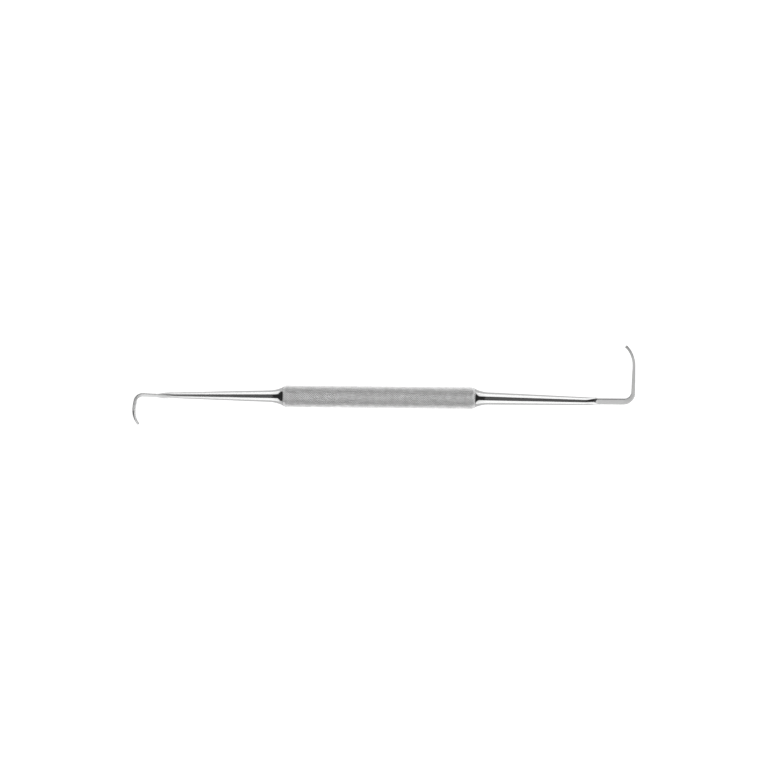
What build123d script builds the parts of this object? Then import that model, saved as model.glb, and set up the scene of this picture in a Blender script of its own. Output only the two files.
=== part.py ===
from build123d import *
import os
from math import asin, atan2, ceil, cos, degrees, hypot, radians, sin, sqrt

# Double-ended dental explorer with a hollow round handle, in millimetres.
# The handle's axis is X and its middle is the origin. The long hook is at the +X end and points
# to +Y, the short one is at the -X end and points to -Y, and both lie in one plane through the
# handle. The instrument is drawn as it comes to rest on a table: on its handle and on the tip of
# the short hook, so that this plane leans about X and the long hook is raised.
# Each working end is built pointing to +X with its hook to +Y in the XY plane. The short one is
# then turned half round about Z, and both are leant about X.

# Handle: a drawn tube with its two mouths chamfered outside
handle_length = 66.0
handle_diameter = 7.5
tube_wall = 0.9
mouth_chamfer_length = 1.0
mouth_chamfer_depth = 0.5

# Tang of each working end, held by a bored plug that is pressed into the tube's mouth
tang_diameter = 3.2
tang_length = 7.5
tang_lead_in = 0.4
groove_count = 3
groove_pitch = 1.8
groove_width = 0.6
groove_depth = 0.15
tang_interference = 0.01
tang_end_gap = 1.0

# Plugs: each one stands back from the tube's mouth, so that the shoulder seats on the tube
plug_interference = 0.02
plug_setback = 0.05
plug_lead_in = 0.4
plug_countersink = 0.3

# Flares: the concave swell by which each shank meets the handle
flare_inset = 0.05
flare_radius = 11.0

# Long working end. Each blade is a bent tapering round with flats ground on its top and bottom:
# width is the round's diameter, and flat is the depth ground off each side.
long_lean = 1.05
long_root_diameter = 4.46
long_end_diameter = 2.66
long_shank_length = 40.3
long_neck_length = 2.1
long_bar_length = 8.65
long_bar_width = 2.0
long_bar_flat = 0.425
long_bend_radius = 3.25
long_bend_turn = 90.0
long_bend_end_width = 1.3
long_bend_end_flat = 0.175
long_arm_length = 9.4
long_arm_end_width = 0.8
long_arm_end_flat = 0.06
long_tip_radius = 11.2
long_tip_turn = 40.0
long_tip_width = 0.92
long_tip_flat = 0.15

# Short working end
short_root_diameter = 4.3
short_end_diameter = 1.72
short_shank_length = 41.6
short_neck_length = 1.7
short_bar_length = 4.75
short_bar_width = 1.12
short_bar_flat = 0.135
short_bend_radius = 2.65
short_bend_turn = 79.0
short_bend_end_width = 1.08
short_bend_end_flat = 0.14
short_arm_straight = 1.35
short_arm_radius = 14.8
short_arm_turn = 11.0
short_arm_end_width = 0.92
short_arm_end_flat = 0.11
short_tip_radius = 7.0
short_tip_turn = 39.0
short_tip_width = 0.55
short_tip_flat = 0.025

# Depth of the vanishing flats where a blade leaves its round shank
first_flat = 0.006
# Largest turn of the centreline from one section of a bend to the next
section_turn = 13.0

tube_bore = handle_diameter - 2 * tube_wall
handle_end = handle_length / 2
flare_diameter = handle_diameter - 2 * (mouth_chamfer_depth + flare_inset)
plug_diameter = tube_bore + plug_interference
plug_length = tang_length + tang_end_gap


def turned(profile):
    """A turned solid: the outline from the axis out and back, spun about X."""
    return revolve(make_face(Polyline(*profile, close=True)), Axis.X)


def handle_tube():
    """Drawn stainless tube, open right through, with both mouths chamfered outside."""
    radius = handle_diameter / 2
    bore = tube_bore / 2
    shoulder = handle_end - mouth_chamfer_length
    mouth = radius - mouth_chamfer_depth
    return turned([(-handle_end, bore), (-handle_end, mouth), (-shoulder, radius),
                   (shoulder, radius), (handle_end, mouth), (handle_end, bore)])


def end_plug():
    """Turned bush for the +X mouth: a lead-in chamfer inside and a countersunk bore outside."""
    radius = plug_diameter / 2
    bore = tang_diameter / 2
    face = handle_end - plug_setback
    inner = face - plug_length
    return turned([(inner, bore), (inner, radius - plug_lead_in), (inner + plug_lead_in, radius),
                   (face, radius), (face, bore + plug_countersink), (face - plug_countersink, bore)])


def tang():
    """Straight spigot behind the shoulder, grooved round to hold the bonding compound."""
    radius = (tang_diameter + tang_interference) / 2
    tail = handle_end - tang_length
    spigot = turned([(tail, 0), (tail, radius - tang_lead_in), (tail + tang_lead_in, radius),
                     (handle_end, radius), (handle_end, 0)])
    middle = (tail + handle_end) / 2
    for index in range(groove_count):
        place = middle + (index - (groove_count - 1) / 2) * groove_pitch
        core = Cylinder(radius - groove_depth, groove_width)
        ring = Cylinder(radius + groove_depth, groove_width) - core
        spigot -= Pos(place, 0, 0) * Rot(0, 90, 0) * ring
    return spigot


def shank(lean, root_diameter, end_diameter, length):
    """Flare and tapering round shank, leaning about the centre of its seat on the handle."""
    base = flare_diameter / 2
    root = root_diameter / 2
    drop = base - root
    flare_length = sqrt(flare_radius ** 2 - (flare_radius - drop) ** 2)
    flare_middle = asin(flare_length / flare_radius) / 2
    sag = flare_radius * (1 - cos(flare_middle))
    waist = (flare_length - flare_radius * sin(flare_middle), root + sag)
    allowance = base * sin(radians(lean)) + plug_setback
    outline = [Line((-allowance, 0), (-allowance, base)),
               Line((-allowance, base), (0, base)),
               ThreePointArc((0, base), waist, (flare_length, root)),
               Line((flare_length, root), (length, end_diameter / 2)),
               Line((length, end_diameter / 2), (length, 0)),
               Line((length, 0), (-allowance, 0))]
    solid = Pos(handle_end, 0, 0) * Rot(0, 0, -lean) * revolve(make_face(outline), Axis.X)
    behind_seat = Box(2 * handle_diameter, handle_diameter, handle_diameter)
    return solid - Pos(handle_end - handle_diameter, 0, 0) * behind_seat


def flatted_round(point, direction, width, flat):
    """Section of the blade: a round of this width with a flat of this depth on its top and bottom."""
    half = width / 2 - flat
    chord = sqrt((width / 2) ** 2 - half ** 2)
    outline = [ThreePointArc((chord, -half), (width / 2, 0), (chord, half)),
               Line((chord, half), (-chord, half)),
               ThreePointArc((-chord, half), (-width / 2, 0), (-chord, -half)),
               Line((-chord, -half), (chord, -half))]
    across = direction.rotate(Axis.Z, 90)
    return Plane(point, x_dir=across, z_dir=direction) * make_face(outline)


def blade(runs, first_size):
    """Joined runs of the bent centreline: each starts from the last section and tapers to its own size."""
    first_run = runs[0][0]
    section = flatted_round(first_run @ 0, first_run % 0, *first_size)
    size = first_size
    solids = []
    for run, end_size, turn in runs:
        steps = max(1, ceil(turn / section_turn))
        sections = [section]
        for index in range(1, steps + 1):
            share = index / steps
            width = size[0] + share * (end_size[0] - size[0])
            flat = size[1] + share * (end_size[1] - size[1])
            sections.append(flatted_round(run @ share, run % share, width, flat))
        solids.append(loft(sections, ruled=steps == 1))
        section = sections[-1]
        size = end_size
    return solids[0].fuse(*solids[1:])


def along(angle, length):
    """Step of this length at this angle to the handle's axis."""
    return Vector(length * cos(radians(angle)), length * sin(radians(angle)), 0)


def long_working_end():
    """Tang, flare, shank, flat bar and long square hook with its tip curved back, in one piece."""
    neck_start = Vector(handle_end, 0, 0) + along(-long_lean, long_shank_length)
    neck = Line(neck_start, neck_start + along(-long_lean, long_neck_length))
    bar = Line(neck @ 1, (neck @ 1) + along(0, long_bar_length))
    bend = JernArc(bar @ 1, bar % 1, long_bend_radius, long_bend_turn)
    arm = Line(bend @ 1, (bend @ 1) + along(long_bend_turn, long_arm_length))
    tip = JernArc(arm @ 1, arm % 1, long_tip_radius, long_tip_turn)
    runs = [(neck, (long_bar_width, long_bar_flat), 0),
            (bar, (long_bar_width, long_bar_flat), 0),
            (bend, (long_bend_end_width, long_bend_end_flat), long_bend_turn),
            (arm, (long_arm_end_width, long_arm_end_flat), 0),
            (tip, (long_tip_width, long_tip_flat), long_tip_turn)]
    hook = blade(runs, (long_end_diameter, first_flat))
    return tang() + shank(long_lean, long_root_diameter, long_end_diameter, long_shank_length) + hook


def short_working_end():
    """Tang, flare, shank, flat bar and short rounded hook with its tip curved back, in one piece."""
    neck_start = Vector(handle_end, 0, 0) + along(0, short_shank_length)
    neck = Line(neck_start, neck_start + along(0, short_neck_length))
    bar = Line(neck @ 1, (neck @ 1) + along(0, short_bar_length))
    bend = JernArc(bar @ 1, bar % 1, short_bend_radius, short_bend_turn)
    straight = Line(bend @ 1, (bend @ 1) + along(short_bend_turn, short_arm_straight))
    arm = JernArc(straight @ 1, straight % 1, short_arm_radius, short_arm_turn)
    tip = JernArc(arm @ 1, arm % 1, short_tip_radius, short_tip_turn)
    runs = [(neck, (short_bar_width, short_bar_flat), 0),
            (bar, (short_bar_width, short_bar_flat), 0),
            (bend, (short_bend_end_width, short_bend_end_flat), short_bend_turn),
            (straight, (short_bend_end_width, short_bend_end_flat), 0),
            (arm, (short_arm_end_width, short_arm_end_flat), short_arm_turn),
            (tip, (short_tip_width, short_tip_flat), short_tip_turn)]
    hook = blade(runs, (short_end_diameter, first_flat))
    return tang() + shank(0, short_root_diameter, short_end_diameter, short_shank_length) + hook


def resting_lean(short_end):
    """Angle about X at which the tip of the short hook touches the table that the handle lies on."""
    reach = -short_end.bounding_box().min.Y
    half_tip = short_tip_width / 2 - short_tip_flat
    return degrees(asin(handle_diameter / 2 / hypot(reach, half_tip)) - atan2(half_tip, reach))


half_turn = Rot(0, 0, 180)
flat_short_end = half_turn * short_working_end()
lean = Rot(resting_lean(flat_short_end), 0, 0)
pieces = {
    "handle_tube": handle_tube(),
    "long_end_plug": end_plug(),
    "short_end_plug": half_turn * end_plug(),
    "long_working_end": lean * long_working_end(),
    "short_working_end": lean * flat_short_end,
}

os.makedirs("parts", exist_ok=True)
for name, piece in pieces.items():
    export_step(piece, f"parts/{name}.step")
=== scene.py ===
from math import cos, pi, radians, sin, sqrt

import bpy
from mathutils import Matrix, Vector


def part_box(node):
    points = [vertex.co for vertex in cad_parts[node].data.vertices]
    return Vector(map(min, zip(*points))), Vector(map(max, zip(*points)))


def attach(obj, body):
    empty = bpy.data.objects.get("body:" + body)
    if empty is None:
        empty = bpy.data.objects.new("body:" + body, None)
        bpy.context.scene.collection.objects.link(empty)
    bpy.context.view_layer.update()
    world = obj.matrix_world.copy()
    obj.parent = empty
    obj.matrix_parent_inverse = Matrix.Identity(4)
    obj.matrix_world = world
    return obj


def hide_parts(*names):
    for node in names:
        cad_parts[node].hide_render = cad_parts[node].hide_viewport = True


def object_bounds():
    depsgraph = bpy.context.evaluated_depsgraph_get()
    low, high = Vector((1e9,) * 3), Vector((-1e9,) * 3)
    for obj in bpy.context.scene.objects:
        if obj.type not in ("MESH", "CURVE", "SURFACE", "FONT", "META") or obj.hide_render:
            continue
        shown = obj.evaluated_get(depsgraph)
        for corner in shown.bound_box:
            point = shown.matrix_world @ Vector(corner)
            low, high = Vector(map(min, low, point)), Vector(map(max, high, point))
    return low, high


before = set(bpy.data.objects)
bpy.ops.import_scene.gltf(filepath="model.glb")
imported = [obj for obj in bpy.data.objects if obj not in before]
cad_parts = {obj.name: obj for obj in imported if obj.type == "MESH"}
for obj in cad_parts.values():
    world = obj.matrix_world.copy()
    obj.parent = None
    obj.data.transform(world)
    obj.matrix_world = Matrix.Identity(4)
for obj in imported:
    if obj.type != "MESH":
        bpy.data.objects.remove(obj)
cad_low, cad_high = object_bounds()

# ---------------------------------------------------------------------------------------------
# Handle tube: a drawn stainless tube rolled all over with a fine diamond knurl for grip. The
# rolls raise small blunt pyramids between crossing V grooves. Both mouths are chamfered, and
# the shoulder of a working end seats on each.

MM = 0.001
tube_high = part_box("handle_tube")[1]
tube_end = tube_high.x
crest_radius = tube_high.y
bore_radius = 2.85 * MM
mouth_radius = 3.25 * MM
chamfer_length = 1.0 * MM
diamonds_around = 34
half_rows = 166
groove_depth = 0.17 * MM
crest_share = 0.14
fade_length = 0.7 * MM
patches_per_metre = 600.0
grain_per_metre = 9000.0
grain_relief = 0.012 * MM
# The grey of the grooves is painted shade. The grey of the crests is partly burnish and partly a painted
# highlight.
groove_shade_grey = 0.47
crest_burnish_and_highlight_grey = 0.81
patch_strength = 0.8
knurl_roughness = 0.60
rubbing_shine = 0.12
grain_roughness = 0.1


def tube_radius(x):
    """Outside of the tube over the crests: straight, with a chamfer at each mouth."""
    past = max(0.0, abs(x) - (tube_end - chamfer_length)) / chamfer_length
    return crest_radius - past * (crest_radius - mouth_radius)


def groove_floor(x):
    """Bottom of the grooves, which run out as they reach a mouth."""
    return tube_radius(x) - groove_depth * min(1.0, (tube_end - abs(x)) / fade_length)


def on_tube(row, column, radius_at):
    """Point on the tube at a place counted in half diamonds."""
    x = -tube_end + 2 * tube_end * row / half_rows
    angle = pi * column / diamonds_around
    return (x, radius_at(x) * cos(angle), radius_at(x) * sin(angle))


def add_mesh(name, points, faces, smooth):
    """A new object of these points and faces, in the frame of the whole instrument."""
    mesh = bpy.data.meshes.new(name)
    mesh.from_pydata(points, [], faces)
    mesh.update()
    mesh.polygons.foreach_set("use_smooth", [smooth] * len(mesh.polygons))
    made = bpy.data.objects.new(name, mesh)
    bpy.context.scene.collection.objects.link(made)
    return made


def keep_number(piece, name, values):
    """Keeps a number for each point of a piece, for its finish to read."""
    kept = piece.data.attributes.new(name, "FLOAT", "POINT")
    kept.data.foreach_set("value", values)


def knurled_tube():
    """The tube with its pyramids. How high each point stands is kept for the finish."""
    turn = 2 * diamonds_around
    points = []
    heights = []
    faces = []
    crossing = {}
    for row in range(half_rows + 1):
        for column in range(row % 2, turn, 2):
            crossing[row, column] = len(points)
            points.append(on_tube(row, column, groove_floor))
            heights.append(0.0)
    sides = [(0, -1), (-1, 0), (0, 1), (1, 0)]
    for row in range(1, half_rows):
        for column in range(1 - row % 2, turn, 2):
            feet = [crossing[row + r, (column + c) % turn] for r, c in sides]
            tops = [len(points) + index for index in range(4)]
            for r, c in sides:
                points.append(on_tube(row + r * crest_share, column + c * crest_share, tube_radius))
                heights.append(1.0)
            faces.append(tops)
            for index in range(4):
                after = (index + 1) % 4
                faces.append([feet[index], feet[after], tops[after], tops[index]])
    mouths = []
    for row, inward in [(0, 1), (half_rows, -1)]:
        rim = [crossing[row, column] for column in range(0, turn, 2)]
        bore = []
        for column in range(0, turn, 2):
            bore.append(len(points))
            points.append(on_tube(row, column, lambda x: bore_radius))
            heights.append(0.0)
        for index in range(diamonds_around):
            after = (index + 1) % diamonds_around
            gap = [rim[index], rim[after], crossing[row + inward, 2 * index + 1]]
            face = [rim[after], rim[index], bore[index], bore[after]]
            faces.append(gap if inward > 0 else gap[::-1])
            faces.append(face if inward > 0 else face[::-1])
        mouths.append(bore)
    for index in range(diamonds_around):
        after = (index + 1) % diamonds_around
        faces.append([mouths[0][index], mouths[1][index], mouths[1][after], mouths[0][after]])
    made = add_mesh("knurled_handle", points, faces, False)
    keep_number(made, "crest", heights)
    return made


class Shade:
    """A socket of a material's nodes, so that sums on it can be written as sums."""

    def __init__(self, tree, socket=None):
        self.tree = tree
        self.socket = socket

    def node(self, kind, settings, inputs, output=0):
        """Any node: its settings are made first, then the values or links of its sockets."""
        made = self.tree.nodes.new(kind)
        for name, value in settings.items():
            setattr(made, name, value)
        for name, value in inputs.items():
            if isinstance(value, Shade):
                self.tree.links.new(value.socket, made.inputs[name])
            else:
                made.inputs[name].default_value = value
        return Shade(self.tree, made.outputs[output])

    def sum(self, operation, first, second):
        return self.node("ShaderNodeMath", {"operation": operation}, {0: first, 1: second})

    def __add__(self, other):
        return self.sum("ADD", self, other)

    def __radd__(self, other):
        return self.sum("ADD", other, self)

    def __sub__(self, other):
        return self.sum("SUBTRACT", self, other)

    def __rsub__(self, other):
        return self.sum("SUBTRACT", other, self)

    def __mul__(self, other):
        return self.sum("MULTIPLY", self, other)

    def __rmul__(self, other):
        return self.sum("MULTIPLY", other, self)

    def grey(self, low, high):
        """Mixes two greys, with this socket as the share of the second."""
        return self.node(
            "ShaderNodeMix",
            {"data_type": "RGBA"},
            {0: self, 6: (low, low, low, 1.0), 7: (high, high, high, 1.0)},
            2,
        )

    def noise(self, place, scale, detail):
        """Noise of this many lumps in a metre."""
        return self.node("ShaderNodeTexNoise", {}, {"Vector": place, "Scale": scale, "Detail": detail})

    def bump(self, height, depth):
        """Surface normal over a height field, whose whole range is this deep in metres."""
        return self.node("ShaderNodeBump", {}, {"Height": height, "Distance": depth})

    def into(self, shader, name):
        """Links this socket to a socket of the shader."""
        self.tree.links.new(self.socket, shader.inputs[name])


def new_steel(name):
    """A bare steel to be finished: the material, its shader and a start for its sums."""
    made = bpy.data.materials.new(name)
    made.use_nodes = True
    shader = made.node_tree.nodes["Principled BSDF"]
    shader.inputs["Metallic"].default_value = 1.0
    return made, shader, Shade(made.node_tree)


def knurled_finish_and_painted_shade():
    """Satin steel, burnished by hands on the crests and duller in the grooves. Its colour has painted
    shade: it is darker in the grooves, and lighter on the crests, partly from burnish and partly as a
    painted highlight.
    """
    steel, shader, start = new_steel("knurled_steel")
    place = start.node("ShaderNodeTexCoord", {}, {}, "Object")
    crest = start.node("ShaderNodeAttribute", {"attribute_name": "crest"}, {}, "Fac")
    patches = start.noise(place, patches_per_metre, 2.0)
    grain = start.noise(place, grain_per_metre, 2.0)
    # Base colour with painted shade: darker in the grooves, and lighter on the crests where burnish and a
    # painted highlight mix, with random patches over both.
    rubbing_and_painted_shade = crest + patch_strength * (patches - 0.5)
    rubbing_and_painted_shade.grey(groove_shade_grey, crest_burnish_and_highlight_grey).into(shader, "Base Color")
    (knurl_roughness - rubbing_shine * rubbing_and_painted_shade + grain_roughness * grain).into(shader, "Roughness")
    start.bump(grain, grain_relief).into(shader, "Normal")
    return steel


handle = knurled_tube()
handle.data.materials.append(knurled_finish_and_painted_shade())
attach(handle, "explorer")
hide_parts("handle_tube")

# ---------------------------------------------------------------------------------------------
# End plugs: two short stainless bushes turned on a lathe and pressed into the tube's mouths.
# Each is bored for the tang of its working end, and stands just behind the shoulder that
# covers it. They keep the shape of the model and get the rings that the lathe tool leaves.

tool_feed = 0.08 * MM
wave_at_scale_one = 0.314
ring_relief = 0.006 * MM
stain_per_metre = 900.0
ring_dark_grey = 0.48
ring_light_grey = 0.62
turned_roughness = 0.24


def turned_finish():
    """Lathe-turned steel: fine even rings round X, with a little stain between them."""
    steel, shader, start = new_steel("turned_steel")
    place = start.node("ShaderNodeTexCoord", {}, {}, "Object")
    rings = start.node(
        "ShaderNodeTexWave",
        {"bands_direction": "X", "wave_profile": "SIN"},
        {
            "Vector": place,
            "Scale": wave_at_scale_one / tool_feed,
            "Distortion": 0.4,
            "Detail": 1.0,
        },
        1,
    )
    stain = start.noise(place, stain_per_metre, 4.0)
    (0.7 * rings + 0.3 * stain).grey(ring_dark_grey, ring_light_grey).into(shader, "Base Color")
    (turned_roughness + 0.1 * rings + 0.12 * stain).into(shader, "Roughness")
    start.bump(rings, ring_relief).into(shader, "Normal")
    return steel


turned_steel = turned_finish()
for plug_name in ["long_end_plug", "short_end_plug"]:
    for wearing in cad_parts[plug_name].material_slots:
        wearing.material = turned_steel

# ---------------------------------------------------------------------------------------------
# Long working end: one stainless rod, turned to a grooved tang, a flared shoulder and a slender
# taper, then ground flat on two sides, bent square and curved back at the tip. The round part
# is mirror polished and the ground flats are left satin. The tang is bonded in its plug.

points_round = 96
rim_bevel = 0.06 * MM
tang_radius = 1.605 * MM
tang_length = 7.5 * MM
tang_lead_in = 0.4 * MM
tang_grooves = 3
groove_pitch = 1.8 * MM
groove_width = 0.6 * MM
tang_groove_depth = 0.15 * MM
shoulder_radius = 3.2 * MM
flare_radius = 11.0 * MM
resting_lean = radians(18.8545)
round_power = 2
bar_power = 16
ground_gain = 1.5
crisp_angle = radians(35)
shank_crowding = 1.6
hairlines_per_metre = 14000.0
smears_per_metre = 350.0
hairline_relief = 0.002 * MM
smear_dark_grey = 0.37
smear_light_grey = 0.42
mirror_roughness = 0.06
satin_roughness = 0.31
long_tip_rounding = 0.07 * MM


class Rod:
    """A working end as a row of sections along its middle line, drawn flat and towards +X."""

    def __init__(self):
        self.sections = []
        self.place = Vector((tube_end, 0.0))
        self.heading = 0.0
        self.travelled = 0.0

    def section(self, place, heading, travelled, half_width, half_thickness, squared=0, twist=0, satin=0):
        """A cross section, from round at squared 0 to a crisp bar at 1, and from polish to satin."""
        self.sections.append((
            place, heading, travelled, half_width, half_thickness, squared, twist, satin,
        ))

    def turned(self, profile):
        """Round sections on the handle's axis, from pairs of x and radius."""
        for x, radius in profile:
            self.section(Vector((x, 0.0)), 0.0, x - tube_end, radius, radius)

    def run(self, length, turn, steps, size_at):
        """Sections along a run that turns evenly. size_at gives a section's sizes by the share run."""
        for step in range(1, steps + 1):
            share = step / steps
            bent = self.heading + turn * share
            if turn:
                radius = length / turn
                step_to = Vector((sin(bent) - sin(self.heading), cos(self.heading) - cos(bent))) * radius
            else:
                step_to = Vector((cos(bent), sin(bent))) * length * share
            self.section(self.place + step_to, bent, self.travelled + length * share, *size_at(share))
        self.place = self.place + step_to
        self.heading = bent
        self.travelled = self.travelled + length

    def square_end(self, rounding, steps):
        """Rounds the rim of the cut end, within the length of the last run."""
        place, heading, travelled, half_width, half_thickness, *finish = self.sections.pop()
        forward = Vector((cos(heading), sin(heading)))
        for step in range(steps + 1):
            angle = 0.5 * pi * step / steps
            back = rounding * (1 - sin(angle))
            trimmed = rounding * (1 - cos(angle))
            self.section(
                place - forward * back, heading, travelled - back,
                half_width - trimmed, half_thickness - trimmed, *finish,
            )

    def piece(self, name, placing):
        """The rod as one closed mesh. How far along and how flat each point is are kept."""
        points = []
        flats = []
        lengths = []
        for place, heading, travelled, half_width, half_thickness, squared, twist, satin in self.sections:
            power = round_power + (bar_power - round_power) * squared
            ground = min(1.0, ground_gain * squared)
            for index in range(points_round):
                angle = 2 * pi * index / points_round
                side_pull = (abs(cos(angle)) / half_width) ** power
                flat_pull = (abs(sin(angle)) / half_thickness) ** power
                reach = (side_pull + flat_pull) ** (-1 / power)
                across = reach * cos(angle + twist)
                up = reach * sin(angle + twist)
                points.append(placing @ Vector((
                    place.x - across * sin(heading),
                    place.y + across * cos(heading),
                    up,
                )))
                flats.append(max(satin, ground * flat_pull / (side_pull + flat_pull)))
                lengths.append(travelled)
        faces = [list(range(points_round))[::-1]]
        for ring in range(len(self.sections) - 1):
            first = ring * points_round
            for index in range(points_round):
                after = (index + 1) % points_round
                faces.append([
                    first + index, first + after,
                    first + points_round + after, first + points_round + index,
                ])
        last = (len(self.sections) - 1) * points_round
        faces.append([last + index for index in range(points_round)])
        made = add_mesh(name, points, faces, True)
        made.data.set_sharp_from_angle(angle=crisp_angle)
        keep_number(made, "flat", flats)
        keep_number(made, "travelled", lengths)
        return made


def eased(share):
    """Goes smoothly from 0 to 1."""
    share = min(1.0, max(0.0, share))
    return share * share * (3 - 2 * share)


def add_tang(rod):
    """Tail chamfer, grooved spigot and the flat back of the shoulder."""
    tail = tube_end - tang_length
    middle = (tail + tube_end) / 2
    profile = [(tail, tang_radius - tang_lead_in), (tail + tang_lead_in, tang_radius)]
    for index in range(tang_grooves):
        start = middle + (index - (tang_grooves - 1) / 2) * groove_pitch - groove_width / 2
        floor = tang_radius - tang_groove_depth
        profile += [(start, tang_radius), (start, floor)]
        profile += [(start + groove_width, floor), (start + groove_width, tang_radius)]
    profile += [(tube_end, tang_radius), (tube_end, shoulder_radius - rim_bevel)]
    rod.turned(profile)


def add_shank(rod, lean, root_radius, end_radius, length, steps, end_satin):
    """The shoulder's rim, the concave flare and the long taper, leaning from its seat."""
    rod.heading = lean
    slope = (root_radius - end_radius) / length
    swell = shoulder_radius - root_radius
    flare_length = sqrt(flare_radius ** 2 - (flare_radius - swell) ** 2)
    first = rod.place.copy()
    forward = Vector((cos(lean), sin(lean)))
    for step in range(1, steps + 1):
        share = step / steps
        along = length * (share ** shank_crowding)
        short = max(0.0, flare_length - along)
        flare = flare_radius - sqrt(flare_radius ** 2 - short ** 2)
        radius = root_radius - slope * along + flare
        along = max(along, rim_bevel)
        rod.section(first + forward * along, lean, along, radius, radius, 0, 0, end_satin * share ** 2)
    rod.place = first + forward * length
    rod.travelled = length


def tapered(start, end):
    """Sizes of a run that go evenly from one section to another."""
    def size_at(share):
        return [first + (last - first) * share for first, last in zip(start, end)]
    return size_at


def polished_finish():
    """Mirror polish with hairlines round the rod, and satin grinding marks across its flats."""
    steel, shader, start = new_steel("polished_steel")
    place = start.node("ShaderNodeTexCoord", {}, {}, "Object")
    flat = start.node("ShaderNodeAttribute", {"attribute_name": "flat"}, {}, "Fac")
    travelled = start.node("ShaderNodeAttribute", {"attribute_name": "travelled"}, {}, "Fac")
    across = start.node("ShaderNodeCombineXYZ", {}, {"X": travelled})
    hairlines = start.noise(across, hairlines_per_metre, 3.0)
    smears = start.noise(place, smears_per_metre, 3.0)
    (0.3 * hairlines + 0.7 * smears).grey(smear_dark_grey, smear_light_grey).into(shader, "Base Color")
    polished = mirror_roughness + 0.05 * smears + 0.04 * hairlines
    satin = satin_roughness + 0.08 * hairlines
    (polished + flat * (satin - polished)).into(shader, "Roughness")
    start.bump(hairlines * (0.1 + 0.9 * flat), hairline_relief).into(shader, "Normal")
    return steel


long_rod = Rod()
add_tang(long_rod)
add_shank(long_rod, radians(-1.05), 2.23 * MM, 1.375 * MM, 38.3 * MM, 70, 0.0)


def long_neck(share):
    """The round turns square as it thins, and narrows to a shoulder just before the bar."""
    half_width = 1.375 - 0.065 * share + (1.03 - 1.31) * eased((share - 0.8) / 0.2)
    half_thickness = 1.375 + (0.55 - 1.375) * (0.3 * eased(share) + 0.7 * (1 - (1 - share) ** 2))
    twist = radians(-3) * eased(share / 0.5) * (1 - eased((share - 0.75) / 0.15))
    return half_width * MM, half_thickness * MM, share ** 9, twist, 0.0


long_rod.run(4.0 * MM, radians(1.05), 40, long_neck)

# Each section below is half its width, half its thickness, how square, how twisted, how satin.
long_bar = (1.03 * MM, 0.55 * MM, 1.0, 0.0, 0.0)
long_bend_end = (0.66 * MM, 0.5 * MM, 0.9, radians(-2), 0.5)
long_arm_end = (0.44 * MM, 0.36 * MM, 0.8, 0.0, 0.8)
long_curve = (0.45 * MM, 0.33 * MM, 0.8, radians(2.5), 0.8)
long_tip = (0.46 * MM, 0.31 * MM, 0.8, radians(4), 0.8)
long_rod.run(8.65 * MM, 0.0, 16, tapered(long_bar, long_bar))
long_rod.run(3.25 * MM * pi / 2, pi / 2, 36, tapered(long_bar, long_bend_end))
long_rod.run(9.4 * MM, 0.0, 24, tapered(long_bend_end, long_arm_end))
long_rod.run(11.2 * MM * radians(26), radians(26), 18, tapered(long_arm_end, long_curve))
long_rod.run(8.0 * MM * radians(22), radians(22), 14, tapered(long_curve, long_tip))
long_rod.square_end(long_tip_rounding, 5)

leant = Matrix.Rotation(resting_lean, 3, "X")
long_end = long_rod.piece("long_hook_end", leant)
polished_steel = polished_finish()
long_end.data.materials.append(polished_steel)
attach(long_end, "explorer")
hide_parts("long_working_end")

# ---------------------------------------------------------------------------------------------
# Short working end: made in the same way from a thinner rod, with a small rounded hook that
# faces the other way. Its shank runs into the hook through a slight S and a narrow waist.

short_tip_rounding = 0.06 * MM

short_rod = Rod()
add_tang(short_rod)
add_shank(short_rod, 0.0, 2.15 * MM, 1.0 * MM, 37.1 * MM, 70, 1.0)


def short_neck(share):
    """The round turns gently into the flatter bar."""
    half_width = 1.0 - 0.2 * share + (0.53 - 0.8) * eased((share - 0.6) / 0.4)
    half_thickness = 1.0 - 0.2 * share + (0.425 - 0.8) * eased((share - 0.2) / 0.8)
    return half_width * MM, half_thickness * MM, 0.5 * share ** 1.4, radians(-4) * share, 1.0


def half_neck(first):
    """Sizes along the half of the neck that begins at this share of it."""
    return lambda share: short_neck(first + 0.5 * share)


short_rod.run(3.1 * MM, radians(4.5), 20, half_neck(0.0))
short_rod.run(3.1 * MM, radians(-7), 20, half_neck(0.5))
short_waist = (0.53 * MM, 0.425 * MM, 0.5, radians(-4), 1.0)
short_bar = (0.6 * MM, 0.425 * MM, 0.5, radians(-4), 1.0)
short_bend_end = (0.57 * MM, 0.4 * MM, 0.2, radians(8), 0.8)
short_arm_end = (0.5 * MM, 0.35 * MM, 0.2, radians(18), 0.4)
short_tip = (0.32 * MM, 0.25 * MM, 0.1, radians(22), 0.4)
short_rod.run(4.75 * MM, 0.0, 12, tapered(short_waist, short_bar))
short_rod.run(2.65 * MM * radians(81.5), radians(81.5), 32, tapered(short_bar, short_bend_end))
short_rod.run(1.35 * MM, 0.0, 6, tapered(short_bend_end, short_bend_end))
short_rod.run(14.8 * MM * radians(11), radians(11), 12, tapered(short_bend_end, short_arm_end))
short_rod.run(7.0 * MM * radians(39), radians(39), 28, tapered(short_arm_end, short_tip))
short_rod.square_end(short_tip_rounding, 5)

half_turn = Matrix.Rotation(pi, 3, "Z")
short_end = short_rod.piece("short_hook_end", leant @ half_turn)
short_end.data.materials.append(polished_steel)
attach(short_end, "explorer")
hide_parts("short_working_end")

# ---------------------------------------------------------------------------------------------
# Table: a wide sheet of white acrylic lit softly from below, turned up all round its edge, so that
# the instrument lies on clean white with hardly any shadow.

table_height = cad_low.z
table_half = 2.6
lip_height = 0.5
lip_radius = 0.9
lip_steps = 12
spokes = 96
ring_shares = (0.05, 0.15, 0.4, 0.7, 1.0)
sheet_grey = 0.36
sheet_glow = 0.85


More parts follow.
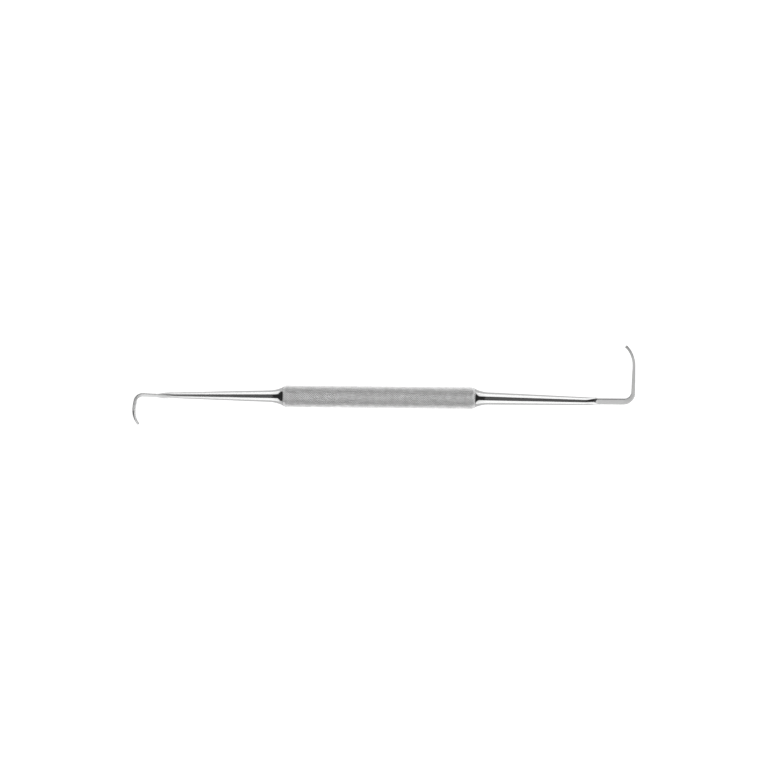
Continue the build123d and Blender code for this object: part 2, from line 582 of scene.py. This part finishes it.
def white_sheet():
    """A round sheet with a lip that curves up all round."""
    points = [(0.0, 0.0, table_height)]
    faces = []
    rings = [(table_half * share, 0.0) for share in ring_shares]
    for step in range(1, lip_steps + 1):
        angle = 0.5 * pi * step / lip_steps
        rings.append((table_half + lip_radius * sin(angle), lip_height * (1 - cos(angle))))
    for reach, rise in rings:
        for spoke in range(spokes):
            angle = 2 * pi * spoke / spokes
            points.append((reach * cos(angle), reach * sin(angle), table_height + rise))
    for spoke in range(spokes):
        after = (spoke + 1) % spokes
        faces.append([0, 1 + spoke, 1 + after])
        for ring in range(len(rings) - 1):
            first = 1 + ring * spokes
            faces.append([first + spoke, first + spokes + spoke, first + spokes + after, first + after])
    return add_mesh("table", points, faces, True)


def lit_acrylic():
    """White acrylic with an even glow from below."""
    made = bpy.data.materials.new("white_acrylic")
    made.use_nodes = True
    shader = made.node_tree.nodes["Principled BSDF"]
    shader.inputs["Base Color"].default_value = (sheet_grey, sheet_grey, sheet_grey, 1.0)
    shader.inputs["Roughness"].default_value = 0.6
    shader.inputs["Specular IOR Level"].default_value = 0.1
    shader.inputs["Emission Color"].default_value = (1.0, 1.0, 1.0, 1.0)
    shader.inputs["Emission Strength"].default_value = sheet_glow
    return made


table = white_sheet()
table.data.materials.append(lit_acrylic())

# ---------------------------------------------------------------------------------------------
# Lights: two long soft boxes with grids, one along each side and tipped towards the instrument,
# in a dark room. The polished rod shows them as two bright bands with the ceiling between. A
# weak lamp over the camera keeps the ceiling from going quite black.

box_distance = 0.85
box_rise = radians(27.7)
box_length = 1.44
box_shift = 0.04
box_height = 0.85
box_power = 5.6
box_spread = radians(140)
top_lamp_height = 1.6
top_lamp_length = 1.1
top_lamp_width = 1.6
top_lamp_power = 0.9
ceiling_grey = 0.05


def soft_box(name, place, length, width, power, spread):
    """A rectangular lamp that faces the middle of the instrument."""
    lamp = bpy.data.lights.new(name, "AREA")
    lamp.shape = "RECTANGLE"
    lamp.size = length
    lamp.size_y = width
    lamp.energy = power
    lamp.spread = spread
    made = bpy.data.objects.new(name, lamp)
    made.location = place
    made.rotation_euler = place.to_track_quat("Z", "Y").to_euler()
    made.visible_camera = False
    bpy.context.scene.collection.objects.link(made)
    return made


for side_name, side in [("near_soft_box", -1), ("far_soft_box", 1)]:
    box_place = Vector((box_shift, side * cos(box_rise) * box_distance, sin(box_rise) * box_distance))
    soft_box(side_name, box_place, box_length, box_height, box_power, box_spread)
top_place = Vector((0, 0, top_lamp_height))
soft_box("top_lamp", top_place, top_lamp_length, top_lamp_width, top_lamp_power, pi)

room = bpy.data.worlds.new("dark_room")
room.use_nodes = True
ceiling = room.node_tree.nodes["Background"]
ceiling.inputs["Color"].default_value = (ceiling_grey, ceiling_grey, ceiling_grey, 1.0)
bpy.context.scene.world = room
bpy.context.scene.view_settings.view_transform = "Standard"

# ---------------------------------------------------------------------------------------------
# Camera: a long lens straight above the table, a little off the middle of the instrument and
# turned by half a degree.

lens_length = 180.0
sensor_width = 36.0
seen_width = 263.8 * MM
aim_across_mm = 0.53
camera_turn = radians(0.555)
near_limit = 0.05
far_limit = 20.0
aim = (cad_low + cad_high) / 2 + Vector((0.0, aim_across_mm, 0.0)) * MM

lens = bpy.data.cameras.new("camera")
lens.lens = lens_length
lens.sensor_width = sensor_width
lens.clip_start = near_limit
lens.clip_end = far_limit
camera = bpy.data.objects.new("camera", lens)
camera.location = (aim.x, aim.y, seen_width * lens_length / sensor_width)
camera.rotation_euler = (0.0, 0.0, camera_turn)
bpy.context.scene.collection.objects.link(camera)
bpy.context.scene.camera = camera
